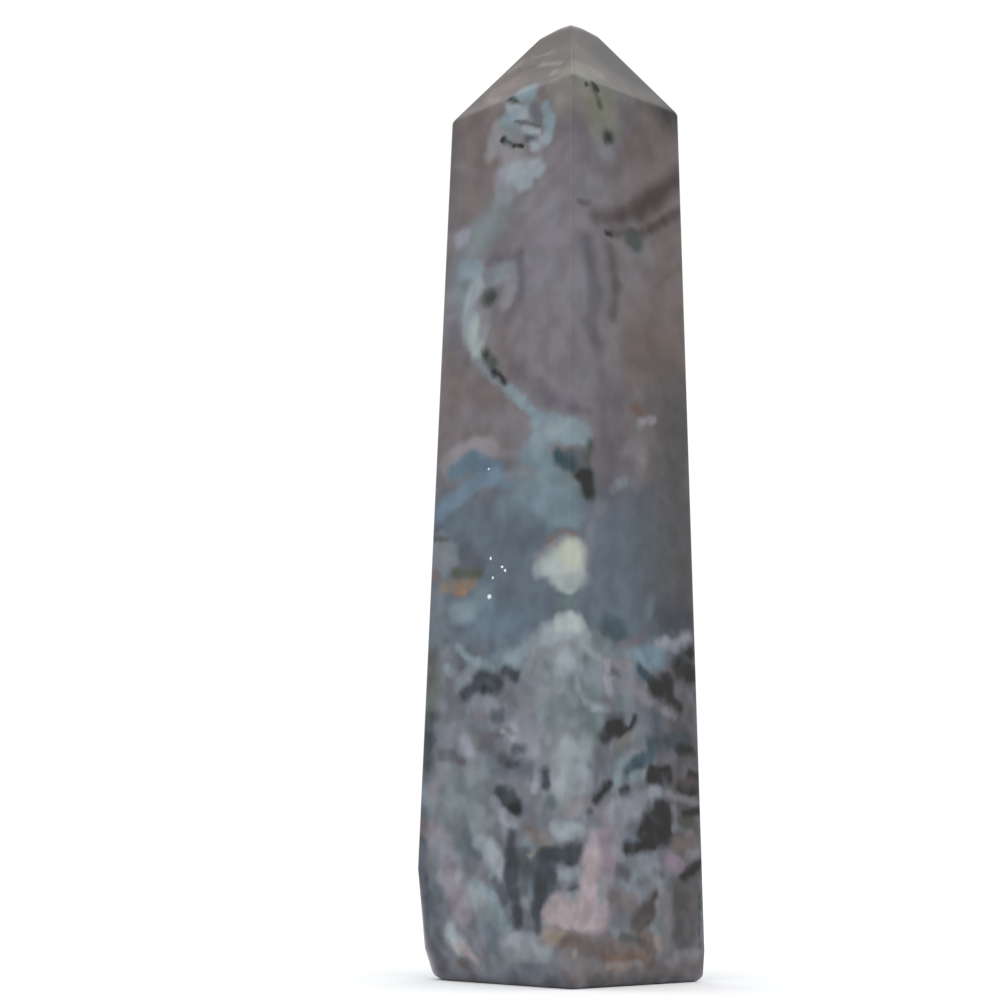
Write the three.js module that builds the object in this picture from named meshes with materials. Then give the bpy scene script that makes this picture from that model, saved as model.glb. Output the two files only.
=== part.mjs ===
// Agate obelisk: one polished stone with four tapering faces, a four-sided
// pyramid tip worn blunt at its point, and a low bevel round a flat base.
// Millimetres, +Z up, origin at the centre of the base.

import * as THREE from 'three';

// Driving dimensions of the tower
const HEIGHT = 100;
const BASE_SIDE = 21.2;
const SHOULDER_SIDE = 17.2;
const SHOULDER_HEIGHT = 90;

// The pyramid: the point its planes aim at, and how far hand cutting left it
// off the middle
const SHARP_APEX_HEIGHT = 102;
const APEX_SHIFT_X = 0.35;
const APEX_SHIFT_Y = 0.3;

// The shoulder isn't level: the heights of its corners, in the order of the
// upright edges at +X +Y, -X +Y, -X -Y and +X -Y
const SHOULDER_CORNERS = [90.7, 90.1, 89.3, 90.9];

// The bevel round the foot, how far it carries the underside off the middle
// along X and along Y, and the small rounding under it
const BEVEL_HEIGHT = 3.1;
const BEVEL_INSET = 0.45;
const FOOT_SHIFT = 0.3;
const FOOT_ROUNDING = 0.8;

// Polished edges: radius of the upright edges, and half the width of the
// rounding along the shoulder
const EDGE_RADIUS = 0.45;
const SHOULDER_SOFTNESS = 0.3;

// The upright edge at -X -Y is worn round towards the foot
const WORN_CORNER = 2;
const WORN_RADIUS = 3.0;
const WORN_TOP = 11;

// Fineness of the corners, the sides between them, and the round stretches
const CORNER_STEPS = 4;
const SIDE_STEPS = 6;
const FOOT_STEPS = 4;
const TIP_STEPS = 8;

// Half width of the tapering faces at a height, as if they ran on forever
function bodyHalfWidth(z) {
  const taper = (SHOULDER_SIDE - BASE_SIDE) / SHOULDER_HEIGHT;
  return (BASE_SIDE + taper * z) / 2;
}

// Radius of an upright edge at a height
function cornerRadius(corner, z) {
  if (corner !== WORN_CORNER || z >= WORN_TOP) {
    return EDGE_RADIUS;
  }
  const wear = Math.min(1, (WORN_TOP - z) / (WORN_TOP - BEVEL_HEIGHT));
  return THREE.MathUtils.lerp(EDGE_RADIUS, WORN_RADIUS, wear);
}

// One rounded corner of a square section, as a quarter turn of points
function cornerArc(half, z, corner) {
  const radius = cornerRadius(corner, z);
  const start = (corner * Math.PI) / 2;
  const middle = start + Math.PI / 4;
  const centreX = Math.sign(Math.cos(middle)) * (half - radius);
  const centreY = Math.sign(Math.sin(middle)) * (half - radius);
  const points = [];
  for (let step = 0; step <= CORNER_STEPS; step += 1) {
    const angle = start + (step / CORNER_STEPS) * (Math.PI / 2);
    const x = centreX + radius * Math.cos(angle);
    const y = centreY + radius * Math.sin(angle);
    points.push(new THREE.Vector3(x, y, z));
  }
  return points;
}

// A ring round a square with rounded corners and evenly divided sides. All
// rings have the same number of points, in the same order.
function squareRing(half, z) {
  const ring = [];
  for (let corner = 0; corner < 4; corner += 1) {
    const arc = cornerArc(half, z, corner);
    const sideStart = arc[CORNER_STEPS];
    const sideEnd = cornerArc(half, z, (corner + 1) % 4)[0];
    ring.push(...arc);
    for (let step = 1; step < SIDE_STEPS; step += 1) {
      ring.push(sideStart.clone().lerp(sideEnd, step / SIDE_STEPS));
    }
  }
  return ring;
}

// The foot: a small round edge from the flat underside up into the bevel
function footRings() {
  const rings = [];
  const bevelHalf = bodyHalfWidth(BEVEL_HEIGHT) - BEVEL_INSET;
  for (let step = 0; step <= FOOT_STEPS; step += 1) {
    const angle = (step / FOOT_STEPS) * (Math.PI / 2);
    const z = FOOT_ROUNDING * (1 - Math.cos(angle));
    const climb = z / BEVEL_HEIGHT;
    const half = bevelHalf + BEVEL_INSET * climb - FOOT_ROUNDING * (1 - Math.sin(angle));
    const shift = FOOT_SHIFT * (1 - climb);
    rings.push(squareRing(half, z).map((point) => point.add(new THREE.Vector3(shift, shift, 0))));
  }
  return rings;
}

// A level ring on the tapering faces
function bodyRing(z) {
  return squareRing(bodyHalfWidth(z), z);
}

// Height of the shoulder over a place, taken across from its four corners
function shoulderHeight(x, y) {
  const reach = bodyHalfWidth(SHOULDER_HEIGHT);
  const along = (x / reach + 1) / 2;
  const across = (y / reach + 1) / 2;
  const near = THREE.MathUtils.lerp(SHOULDER_CORNERS[2], SHOULDER_CORNERS[3], along);
  const far = THREE.MathUtils.lerp(SHOULDER_CORNERS[1], SHOULDER_CORNERS[0], along);
  return THREE.MathUtils.lerp(near, far, across);
}

// A ring on the tapering faces, a drop below the shoulder's edge all round
function ringUnderShoulder(drop) {
  const low = bodyRing(WORN_TOP);
  const high = bodyRing(SHOULDER_HEIGHT);
  return low.map((from, index) => {
    const to = high[index];
    const share = (shoulderHeight(to.x, to.y) - drop - from.z) / (to.z - from.z);
    return from.clone().lerp(to, share);
  });
}

// The pyramid: each point of the shoulder ring runs straight to the sharp apex
function pyramidRing(shoulder, share) {
  const apex = new THREE.Vector3(APEX_SHIFT_X, APEX_SHIFT_Y, SHARP_APEX_HEIGHT);
  return shoulder.map((point) => point.clone().lerp(apex, share));
}

// The blunt tip is a round cap that meets the pyramid's planes smoothly
function tipShape() {
  const rise = SHARP_APEX_HEIGHT - SHOULDER_HEIGHT;
  const slope = Math.atan2(rise, SHOULDER_SIDE / 2);
  const blunted = SHARP_APEX_HEIGHT - HEIGHT;
  const radius = blunted / (1 / Math.cos(slope) - 1);
  const startHeight = HEIGHT - radius + radius * Math.cos(slope);
  const startShare = (startHeight - SHOULDER_HEIGHT) / rise;
  return { slope, radius, startHeight, startShare };
}

// Rings of the tip, which turn from the pyramid's square section to a circle
function tipRings(shoulder) {
  const { slope, radius, startHeight, startShare } = tipShape();
  const start = pyramidRing(shoulder, startShare);
  const rings = [];
  for (let step = 0; step < TIP_STEPS; step += 1) {
    const share = step / TIP_STEPS;
    const angle = slope * (1 - share);
    const shrink = Math.sin(angle) / Math.sin(slope);
    const rise = radius * (Math.cos(angle) - Math.cos(slope));
    const ring = start.map((point) => {
      const x = point.x - APEX_SHIFT_X;
      const y = point.y - APEX_SHIFT_Y;
      const squareReach = Math.hypot(x, y);
      const roundReach = radius * Math.sin(slope);
      const scale = (THREE.MathUtils.lerp(squareReach, roundReach, share) * shrink) / squareReach;
      const z = THREE.MathUtils.lerp(point.z, startHeight, share) + rise;
      return new THREE.Vector3(APEX_SHIFT_X + x * scale, APEX_SHIFT_Y + y * scale, z);
    });
    rings.push(ring);
  }
  return rings;
}

// Skin between two neighbouring rings
function addBand(triangles, lowStart, highStart, count) {
  for (let i = 0; i < count; i += 1) {
    const next = (i + 1) % count;
    triangles.push(lowStart + i, lowStart + next, highStart + next);
    triangles.push(lowStart + i, highStart + next, highStart + i);
  }
}

// The flat underside, seen from below
function addUnderside(triangles, ring) {
  const outline = ring.map((point) => new THREE.Vector2(point.x, point.y));
  for (const [a, b, c] of THREE.ShapeUtils.triangulateShape(outline, [])) {
    triangles.push(a, c, b);
  }
}

// The last ring closes in a fan on the highest point
function addTop(triangles, lastStart, count, topIndex) {
  for (let i = 0; i < count; i += 1) {
    triangles.push(lastStart + i, lastStart + ((i + 1) % count), topIndex);
  }
}

// One closed skin over the whole stone
function obeliskGeometry() {
  const shoulder = ringUnderShoulder(0);
  const rings = [
    ...footRings(),
    bodyRing(BEVEL_HEIGHT),
    bodyRing(WORN_TOP),
    ringUnderShoulder(SHOULDER_SOFTNESS),
    pyramidRing(shoulder, SHOULDER_SOFTNESS / (SHARP_APEX_HEIGHT - SHOULDER_HEIGHT)),
    ...tipRings(shoulder),
  ];
  const count = rings[0].length;
  const top = new THREE.Vector3(APEX_SHIFT_X, APEX_SHIFT_Y, HEIGHT);
  const points = [...rings.flat(), top];
  const triangles = [];
  addUnderside(triangles, rings[0]);
  for (let level = 0; level + 1 < rings.length; level += 1) {
    addBand(triangles, level * count, (level + 1) * count, count);
  }
  addTop(triangles, (rings.length - 1) * count, count, points.length - 1);
  const geometry = new THREE.BufferGeometry().setFromPoints(points);
  geometry.setIndex(triangles);
  geometry.computeVertexNormals();
  return geometry;
}

// Polished grey-mauve chalcedony
const agate = new THREE.MeshStandardMaterial({
  color: new THREE.Color().setRGB(0.42, 0.4, 0.41, THREE.SRGBColorSpace),
  roughness: 0.15,
  metalness: 0,
});

const obelisk = new THREE.Mesh(obeliskGeometry(), agate);
obelisk.name = 'obelisk';

const part = new THREE.Group();
part.add(obelisk);

export default part;
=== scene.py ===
"""Polished plume agate tower: fine mesh, stone pattern, camera, floor and light."""

import math
from collections import namedtuple

import bpy
import numpy as np
from mathutils import Matrix, Vector


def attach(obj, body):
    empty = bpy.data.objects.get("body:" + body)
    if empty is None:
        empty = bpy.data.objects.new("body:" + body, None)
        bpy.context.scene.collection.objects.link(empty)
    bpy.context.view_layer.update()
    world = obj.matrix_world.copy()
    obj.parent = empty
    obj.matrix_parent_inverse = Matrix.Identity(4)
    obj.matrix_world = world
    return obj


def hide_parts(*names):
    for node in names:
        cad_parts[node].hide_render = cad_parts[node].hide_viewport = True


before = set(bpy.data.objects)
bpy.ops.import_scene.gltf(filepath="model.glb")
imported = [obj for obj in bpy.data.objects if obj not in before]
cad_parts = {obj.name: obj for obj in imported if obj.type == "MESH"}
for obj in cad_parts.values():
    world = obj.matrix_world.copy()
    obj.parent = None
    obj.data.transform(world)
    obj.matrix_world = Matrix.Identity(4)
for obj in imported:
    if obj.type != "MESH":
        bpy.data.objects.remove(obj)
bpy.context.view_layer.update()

MM = 0.001

# The tower's sizes in millimetres, as in the part's source
HEIGHT = 100.0
BASE_SIDE = 21.2
SHOULDER_SIDE = 17.2
SHOULDER_HEIGHT = 90.0
SHARP_APEX_HEIGHT = 102.0
APEX_SHIFT = np.array([0.35, 0.3])
SHOULDER_CORNERS = [90.7, 90.1, 89.3, 90.9]
BEVEL_HEIGHT = 3.1
BEVEL_INSET = 0.45
FOOT_SHIFT = 0.3
FOOT_ROUNDING = 0.8
EDGE_RADIUS = 0.45
SHOULDER_SOFTNESS = 0.3
WORN_CORNER = 2
WORN_RADIUS = 3.0
WORN_TOP = 11.0

# Fineness of the visible mesh
CORNER_STEPS = 8
SIDE_STEPS = 40
LEVEL_GAP = 0.42
FOOT_STEPS = 6
SHOULDER_STEPS = 4
TIP_STEPS = 14

# Colours of the stone as they look in the studio light, from 0 to 255
WHITE = (168, 176, 175)
CREAM = (185, 187, 174)
CHALK = (144, 152, 158)
ICE = (127, 141, 149)
MIST = (120, 126, 132)
SHELL = (132, 129, 132)
PALE_MAUVE = (130, 128, 134)
PALE_SAGE = (118, 127, 129)
SAGE = (106, 119, 119)
PERIWINKLE = (107, 124, 138)
STEEL_BLUE = (112, 131, 143)
DEEP_BLUE = (95, 112, 125)
SLATE = (97, 107, 117)
DIM_SLATE = (88, 93, 101)
DARK_SLATE = (70, 75, 80)
DEEP_TEAL = (64, 80, 88)
MOSS_GREEN = (76, 83, 80)
BLACK_GREEN = (33, 39, 36)
INK = (39, 41, 46)
LILAC = (140, 142, 151)
LILAC_GREY = (120, 121, 129)
LILAC_PINK = (131, 126, 133)
PINK_CREAM = (155, 145, 148)
MAUVE = (119, 117, 122)
DUSK = (98, 95, 102)
TAUPE = (114, 107, 108)
WARM_TAUPE = (110, 101, 100)
BROWN = (104, 94, 90)
DARK_TAUPE = (88, 81, 83)
TAN = (136, 125, 119)
STONE_CREAM = (129, 126, 121)
GREEN_CREAM = (119, 119, 108)
OLIVE = (86, 89, 78)
OCHRE = (127, 115, 100)
ORANGE = (140, 115, 99)
RUST = (112, 92, 84)
GREY = (108, 108, 113)
ASH = (98, 98, 103)
BLUSH = (169, 157, 161)
FOG = (136, 143, 147)
MILK = (150, 160, 158)
PALE_BLUE = (114, 130, 139)
UMBER = (86, 84, 85)
ARC_BROWN = (74, 66, 64)
# A painted glint: a point of light on the polish, painted into the colour
PAINTED_GLINT = (240, 244, 246)
PLUM = (124, 113, 126)
PINK_GREY = (147, 140, 147)
DARK_BROWN = (78, 72, 70)
# CAP_TAUPE, CAP_BROWN and CAP_DARK also give the pyramid its painted brown reflection
CAP_TAUPE = (100, 93, 91)
CAP_BROWN = (92, 85, 81)
CAP_DARK = (78, 71, 66)
# Painted shade for the right side of the pyramid
CAP_PAINTED_SHADE = (56, 49, 45)
CAP_CREAM = (128, 121, 113)
CAP_PINK = (116, 105, 102)

# Light that the polish throws back, and how strongly the studio lights the stone
GLOSS_LIFT = 0.035
STUDIO_GAIN = 1.12

# How far the pattern of the hidden half slides down, per mm behind the side edges
BACK_SLIDE = 0.45

# Heights between which the stone has a material of its own, and how far the noise can
# carry a mark across them, in mm
ZONE_EDGES = [7, 12, 17, 22, 27, 32, 38, 46, 52, 60, 69, 80]
STRAY_REACH = 1.4

# Marks in a batch, and how far the colours under them push the next batch, in mm
BATCH_SIZE = 14
BATCH_PUSH = 0.02

# A mark's edge unless it is given: the least softness in mm, how much more comes with the
# mark's radius, and the raggedness
SOFT_LEAST = 0.6
SOFT_SHARE = 0.5
ROUGH = 0.3

# The most softness that a mark can have, per mm of its radius
SOFT_LIMIT = 2.4

# The noise that bends the marks, and what curls the moss: cycles per mm and reach in mm
SHOVES = [(0.3, 0.8), (1.1, 0.4)]
MOSS_CURL = (0.3, 1.5)

# The other noise patterns, in cycles per mm
BROAD_TONES = 0.14
MOSS_TINTS = 0.2
MOSS_CLOUDS = 0.32
DEPTH_CLOUDS = 0.42
WISPS = 0.6
EDGE_GRAIN = 0.8

# Noise values between which a pattern goes from none to full
TINT_STEP = (0.4, 0.58)
CLOUD_STEP = (0.3, 0.7)
WISP_STEP = (0.42, 0.95)

# Strength of the faint clouds within the marks, above and in the mossy zone
DEPTH_PLAIN = 0.14
DEPTH_MOSS = 0.3

# Heights over which one tone gives way to another, and how far the grain moves them, in mm.
# From CAP_BLEND up the pyramid takes a painted brown reflection, darker from TIP_BLEND up.
CAP_BLEND = (90.2, 91.6)
TIP_BLEND = (95.6, 97.6)
SLATE_BLEND = (53.0, 46.5)
MOSS_BLEND = (35.0, 31.0)
DEPTH_BLEND = (38.0, 30.0)
BLEND_REACH = 0.8

# The polish
POLISH_ROUGHNESS = 0.16
AGATE_IOR = 1.54
AGATE_SPECULAR = 0.25

# The camera: where it stands round the tower, and how it is turned
CAMERA_AZIMUTH = 41.7
CAMERA_DISTANCE = 242.66
CAMERA_HEIGHT = 14.74
CAMERA_PITCH = 8.03
CAMERA_YAW = 1.54
CAMERA_ROLL = 0.61
FOCAL_PIXELS = 2356.97
IMAGE_PIXELS = 1000.0
SENSOR_WIDTH = 36.0

# The floor, in metres
FLOOR_RADIUS = 3.0
FLOOR_SIDES = 64


def body_half_width(z):
    """Half width of the tapering faces at a height, as if they ran on forever."""
    return (BASE_SIDE + (SHOULDER_SIDE - BASE_SIDE) * z / SHOULDER_HEIGHT) / 2


def corner_radius(corner, z):
    """Radius of an upright edge at a height: one of them is worn round towards the foot."""
    if corner != WORN_CORNER or z >= WORN_TOP:
        return EDGE_RADIUS
    wear = min(1.0, (WORN_TOP - z) / (WORN_TOP - BEVEL_HEIGHT))
    return EDGE_RADIUS + (WORN_RADIUS - EDGE_RADIUS) * wear


def square_ring(half, z):
    """Points round a square with rounded corners and divided sides."""
    arcs = []
    for corner in range(4):
        radius = corner_radius(corner, z)
        angles = corner * math.pi / 2 + np.linspace(0, math.pi / 2, CORNER_STEPS + 1)
        middle = corner * math.pi / 2 + math.pi / 4
        centre = np.sign([math.cos(middle), math.sin(middle)]) * (half - radius)
        arcs.append(centre + radius * np.column_stack([np.cos(angles), np.sin(angles)]))
    ring = []
    for corner in range(4):
        ring.append(arcs[corner])
        start = arcs[corner][-1]
        end = arcs[(corner + 1) % 4][0]
        shares = np.arange(1, SIDE_STEPS)[:, None] / SIDE_STEPS
        ring.append(start + (end - start) * shares)
    flat = np.concatenate(ring)
    return np.column_stack([flat, np.full(len(flat), z)])


def bevel_ring(inset, z):
    """A ring on the bevel, which carries the underside a little off the middle."""
    climb = z / BEVEL_HEIGHT
    half = body_half_width(BEVEL_HEIGHT) - BEVEL_INSET * (1 - climb) - inset
    return square_ring(half, z) + np.array([1, 1, 0]) * FOOT_SHIFT * (1 - climb)


def foot_rings():
    """The rounded lower edge and the bevel above it."""
    rings = []
    for angle in np.linspace(0, math.pi / 2, FOOT_STEPS + 1):
        z = FOOT_ROUNDING * (1 - math.cos(angle))
        rings.append(bevel_ring(FOOT_ROUNDING * (1 - math.sin(angle)), z))
    count = int((BEVEL_HEIGHT - FOOT_ROUNDING) / LEVEL_GAP)
    for z in np.linspace(FOOT_ROUNDING, BEVEL_HEIGHT, count + 1)[1:]:
        rings.append(bevel_ring(0.0, z))
    return rings


def body_ring(z):
    """A level ring on the tapering faces."""
    return square_ring(body_half_width(z), z)


def shoulder_height(flat):
    """Height of the shoulder over each place, taken across from its four corners."""
    along, across = ((flat / body_half_width(SHOULDER_HEIGHT) + 1) / 2).T
    near = SHOULDER_CORNERS[2] + (SHOULDER_CORNERS[3] - SHOULDER_CORNERS[2]) * along
    far = SHOULDER_CORNERS[1] + (SHOULDER_CORNERS[0] - SHOULDER_CORNERS[1]) * along
    return near + (far - near) * across


def ring_under_shoulder(drop):
    """A ring on the tapering faces, a drop below the shoulder's edge all round."""
    low = body_ring(WORN_TOP)
    high = body_ring(SHOULDER_HEIGHT)
    height = shoulder_height(high[:, :2]) - drop
    share = (height - WORN_TOP) / (SHOULDER_HEIGHT - WORN_TOP)
    return low + (high - low) * share[:, None]


def body_rings():
    """The tapering faces, from the bevel up to just under the shoulder."""
    low_count = int((WORN_TOP - BEVEL_HEIGHT) / LEVEL_GAP)
    rings = [body_ring(z) for z in np.linspace(BEVEL_HEIGHT, WORN_TOP, low_count + 1)[1:]]
    start = rings[-1]
    end = ring_under_shoulder(SHOULDER_SOFTNESS)
    count = int((SHOULDER_HEIGHT - WORN_TOP) / LEVEL_GAP)
    rings += [start + (end - start) * share for share in np.linspace(0, 1, count + 1)[1:]]
    return rings


def pyramid_ring(shoulder, share):
    """Each point of the shoulder moved straight towards the sharp apex."""
    apex = np.array([*APEX_SHIFT, SHARP_APEX_HEIGHT])
    return shoulder + (apex - shoulder) * share


def shoulder_rings():
    """The soft edge between the upright faces and the pyramid."""
    shoulder = ring_under_shoulder(0.0)
    below = ring_under_shoulder(SHOULDER_SOFTNESS)
    above = pyramid_ring(shoulder, SHOULDER_SOFTNESS / (SHARP_APEX_HEIGHT - SHOULDER_HEIGHT))
    rings = []
    for share in np.linspace(0, 1, SHOULDER_STEPS + 1)[1:]:
        first = below + (shoulder - below) * share
        second = shoulder + (above - shoulder) * share
        rings.append(first + (second - first) * share)
    return rings


def tip_shape():
    """Slope, radius and start of the round cap that meets the pyramid's planes."""
    rise = SHARP_APEX_HEIGHT - SHOULDER_HEIGHT
    slope = math.atan2(rise, SHOULDER_SIDE / 2)
    radius = (SHARP_APEX_HEIGHT - HEIGHT) / (1 / math.cos(slope) - 1)
    start_height = HEIGHT - radius + radius * math.cos(slope)
    return slope, radius, start_height, (start_height - SHOULDER_HEIGHT) / rise


def pyramid_rings():
    """The pyramid's planes, from the shoulder to where the round tip begins."""
    shoulder = ring_under_shoulder(0.0)
    rise = SHARP_APEX_HEIGHT - SHOULDER_HEIGHT
    first = SHOULDER_SOFTNESS / rise
    last = tip_shape()[3]
    count = int((last - first) * rise / LEVEL_GAP)
    return [pyramid_ring(shoulder, share) for share in np.linspace(first, last, count + 1)[1:]]


def tip_rings():
    """The blunt tip, which turns from a square section to a circle."""
    slope, radius, start_height, start_share = tip_shape()
    start = pyramid_ring(ring_under_shoulder(0.0), start_share)
    offset = start[:, :2] - APEX_SHIFT
    square_reach = np.hypot(offset[:, 0], offset[:, 1])
    round_reach = radius * math.sin(slope)
    rings = []
    for share in np.linspace(0, 1, TIP_STEPS + 1)[1:-1]:
        angle = slope * (1 - share)
        shrink = math.sin(angle) / math.sin(slope)
        reach = (square_reach + (round_reach - square_reach) * share) * shrink
        z = start[:, 2] + (start_height - start[:, 2]) * share
        z = z + radius * (math.cos(angle) - math.cos(slope))
        flat = APEX_SHIFT + offset * (reach / square_reach)[:, None]
        rings.append(np.column_stack([flat, z]))
    return rings


def skin_faces(levels, count, top_index):
    """Quads between neighbouring rings, a fan on the top and one face underneath."""
    faces = [tuple(reversed(range(count)))]
    for level in range(levels - 1):
        low = level * count
        high = low + count
        for i in range(count):
            following = (i + 1) % count
            faces.append((low + i, low + following, high + following, high + i))
    last = (levels - 1) * count
    for i in range(count):
        faces.append((last + i, last + (i + 1) % count, top_index))
    return faces


def make_tower():
    """The stone's visible mesh, in the place of its CAD solid."""
    rings = foot_rings() + body_rings() + shoulder_rings() + pyramid_rings() + tip_rings()
    top = np.array([[*APEX_SHIFT, HEIGHT]])
    points = np.concatenate([*rings, top]) * MM
    faces = skin_faces(len(rings), len(rings[0]), len(points) - 1)
    mesh = bpy.data.meshes.new("polished_tower")
    mesh.from_pydata(points.tolist(), [], faces)
    mesh.update()
    mesh.polygons.foreach_set("use_smooth", [index > 0 for index in range(len(faces))])
    tower = bpy.data.objects.new("polished_tower", mesh)
    bpy.context.scene.collection.objects.link(tower)
    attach(tower, "root")
    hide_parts("obelisk")
    return tower


def make_camera():
    """A camera low in front of the near edge, turned a little aside, tilted up and rolled."""
    azimuth = math.radians(CAMERA_AZIMUTH)
    place = Vector((math.sin(azimuth), -math.cos(azimuth), 0)) * CAMERA_DISTANCE
    place.z = CAMERA_HEIGHT
    turn = Matrix.Rotation(math.radians(CAMERA_AZIMUTH + CAMERA_YAW), 3, "Z")
    tilt = Matrix.Rotation(math.radians(90 + CAMERA_PITCH), 3, "X")
    roll = Matrix.Rotation(math.radians(CAMERA_ROLL), 3, "Z")
    data = bpy.data.cameras.new("camera")
    data.sensor_width = SENSOR_WIDTH
    data.lens = FOCAL_PIXELS / IMAGE_PIXELS * SENSOR_WIDTH
    data.clip_start = 0.01
    camera = bpy.data.objects.new("camera", data)
    camera.matrix_world = Matrix.Translation(place * MM) @ (turn @ tilt @ roll).to_4x4()
    bpy.context.scene.collection.objects.link(camera)
    bpy.context.scene.camera = camera


def make_floor():
    """A wide pale floor."""
    angles = np.linspace(0, 2 * math.pi, FLOOR_SIDES + 1)[:-1]
    points = np.column_stack([np.cos(angles), np.sin(angles), np.zeros(FLOOR_SIDES)]) * FLOOR_RADIUS
    mesh = bpy.data.meshes.new("floor")
    mesh.from_pydata(points.tolist(), [], [tuple(range(FLOOR_SIDES))])
    floor = bpy.data.objects.new("floor", mesh)
    material = bpy.data.materials.new("floor_paint")
    material.use_nodes = True
    shader = material.node_tree.nodes["Principled BSDF"]
    shader.inputs["Base Color"].default_value = (0.95, 0.95, 0.95, 1)
    shader.inputs["Roughness"].default_value = 0.9
    shader.inputs["Specular IOR Level"].default_value = 0.1
    mesh.materials.append(material)
    bpy.context.scene.collection.objects.link(floor)


def make_light(name, place, size, watts):
    """A square soft light that points at the middle of the stone, sizes in metres."""
    aim = Vector((0, 0, HEIGHT / 2 * MM))
    data = bpy.data.lights.new(name, "AREA")
    data.size = size
    data.energy = watts
    light = bpy.data.objects.new(name, data)
    light.rotation_mode = "QUATERNION"
    light.rotation_quaternion = (aim - Vector(place)).to_track_quat("-Z", "Y")
    light.location = place
    bpy.context.scene.collection.objects.link(light)


def make_lights():
    """A white surround, with a little soft light from above and from the camera's left."""
    make_light("overhead", (0.0, 0.0, 1.2), size=1.2, watts=3.0)
    make_light("left_front", (0.2, -1.1, 0.6), size=1.0, watts=1.7)
    world = bpy.data.worlds.new("surround")
    world.use_nodes = True
    background = world.node_tree.nodes["Background"]
    background.inputs["Color"].default_value = (0.98, 0.99, 1.0, 1)
    background.inputs["Strength"].default_value = 1.05
    bpy.context.scene.world = world
    bpy.context.scene.view_settings.view_transform = "Standard"


def light_share(value):
    """The share of light behind a picture's value from 0 to 255."""
    share = value / 255
    if share < 0.04045:
        return share / 12.92
    return ((share + 0.055) / 1.055) ** 2.4


def linear(colour):
    """The shader colour that looks like the given one in the studio light."""
    paint = [(light_share(value) - GLOSS_LIFT) / STUDIO_GAIN for value in colour]
    return tuple(max(0.001, value) for value in paint) + (1.0,)


def half_width(z):
    """Half width of the tower at a height, the pyramid's where that is less."""
    pyramid = SHOULDER_SIDE / 2 * (SHARP_APEX_HEIGHT - z) / (SHARP_APEX_HEIGHT - SHOULDER_HEIGHT)
    return min(body_half_width(z), pyramid)


def add_node(tree, kind, inputs, **settings):
    """A node whose inputs, by number or name, are given as values or as sockets to link."""
    node = tree.nodes.new(kind)
    for name, value in settings.items():
        setattr(node, name, value)
    for key, value in inputs.items():
        if isinstance(value, bpy.types.NodeSocket):
            tree.links.new(value, node.inputs[key])
        else:
            node.inputs[key].default_value = value
    return node


def add_math(tree, operation, *values, clamp=False):
    """The result of a math node."""
    inputs = dict(enumerate(values))
    return add_node(tree, "ShaderNodeMath", inputs, operation=operation, use_clamp=clamp).outputs[0]


def add_vector_math(tree, operation, *values):
    """The result of a vector math node."""
    node = add_node(tree, "ShaderNodeVectorMath", dict(enumerate(values)), operation=operation)
    return node.outputs[1 if operation in ("DOT_PRODUCT", "DISTANCE", "LENGTH") else 0]


def add_scaled(tree, vector, factor):
    """A vector times a number."""
    return add_node(tree, "ShaderNodeVectorMath", {0: vector, 3: factor}, operation="SCALE").outputs[0]


def add_smooth(tree, value, none, full, most=1.0):
    """A soft step from 0 where the value reaches none to most where it reaches full."""
    inputs = {0: value, 1: none, 2: full, 3: 0.0, 4: most}
    return add_node(tree, "ShaderNodeMapRange", inputs, interpolation_type="SMOOTHSTEP").outputs[0]


def add_mix(tree, share, first, second, blend="MIX"):
    """A blend of two colours."""
    inputs = {0: share, 6: first, 7: second}
    return add_node(tree, "ShaderNodeMix", inputs, data_type="RGBA", blend_type=blend).outputs[2]


def add_height(tree, point):
    """The height of a place."""
    return add_node(tree, "ShaderNodeSeparateXYZ", {0: point}).outputs[2]


def add_noise(tree, point, scale, detail):
    """The outputs of a noise texture, its scale in cycles per millimetre."""
    return add_node(tree, "ShaderNodeTexNoise", {0: point, 2: scale, 3: detail, 4: 0.5}).outputs


def add_ramp(tree, value, stops):
    """A colour ramp through (place, colour) stops."""
    node = add_node(tree, "ShaderNodeValToRGB", {0: value})
    elements = node.color_ramp.elements
    for _ in stops[2:]:
        elements.new(0.5)
    for element, (place, colour) in zip(elements, stops):
        element.position = place
        element.color = linear(colour)
    return node.outputs[0]


def make_mark_group():
    """A mark: everything within reach of a straight route takes a colour, with a rough soft edge."""
    group = bpy.data.node_groups.new("mark", "ShaderNodeTree")
    sockets = {
        "NodeSocketColor": ["Colour", "Paint"],
        "NodeSocketVector": ["Point", "Start", "Span"],
        "NodeSocketFloat": ["Grain", "Wisp", "Pull", "Rough", "Outside", "Inside", "Strength"],
    }
    for kind, names in sockets.items():
        for name in names:
            group.interface.new_socket(name=name, in_out="INPUT", socket_type=kind)
    group.interface.new_socket(name="Colour", in_out="OUTPUT", socket_type="NodeSocketColor")
    given = group.nodes.new("NodeGroupInput").outputs
    away = add_vector_math(group, "SUBTRACT", given["Point"], given["Start"])
    along = add_vector_math(group, "DOT_PRODUCT", away, given["Span"])
    share = add_math(group, "MULTIPLY", along, given["Pull"], clamp=True)
    nearest = add_scaled(group, given["Span"], share)
    gap = add_vector_math(group, "DISTANCE", away, nearest)
    edge = add_math(group, "MULTIPLY_ADD", given["Grain"], given["Rough"], gap)
    holes = add_math(group, "MULTIPLY", given["Wisp"], given["Rough"])
    most = add_math(group, "MULTIPLY_ADD", holes, -1.0, given["Strength"])
    mask = add_smooth(group, edge, given["Outside"], given["Inside"], most)
    painted = add_mix(group, mask, given["Colour"], given["Paint"])
    add_node(group, "NodeGroupOutput", {0: painted})
    return group


Mark = namedtuple("Mark", "paint radius start end soft rough strength")


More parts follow.
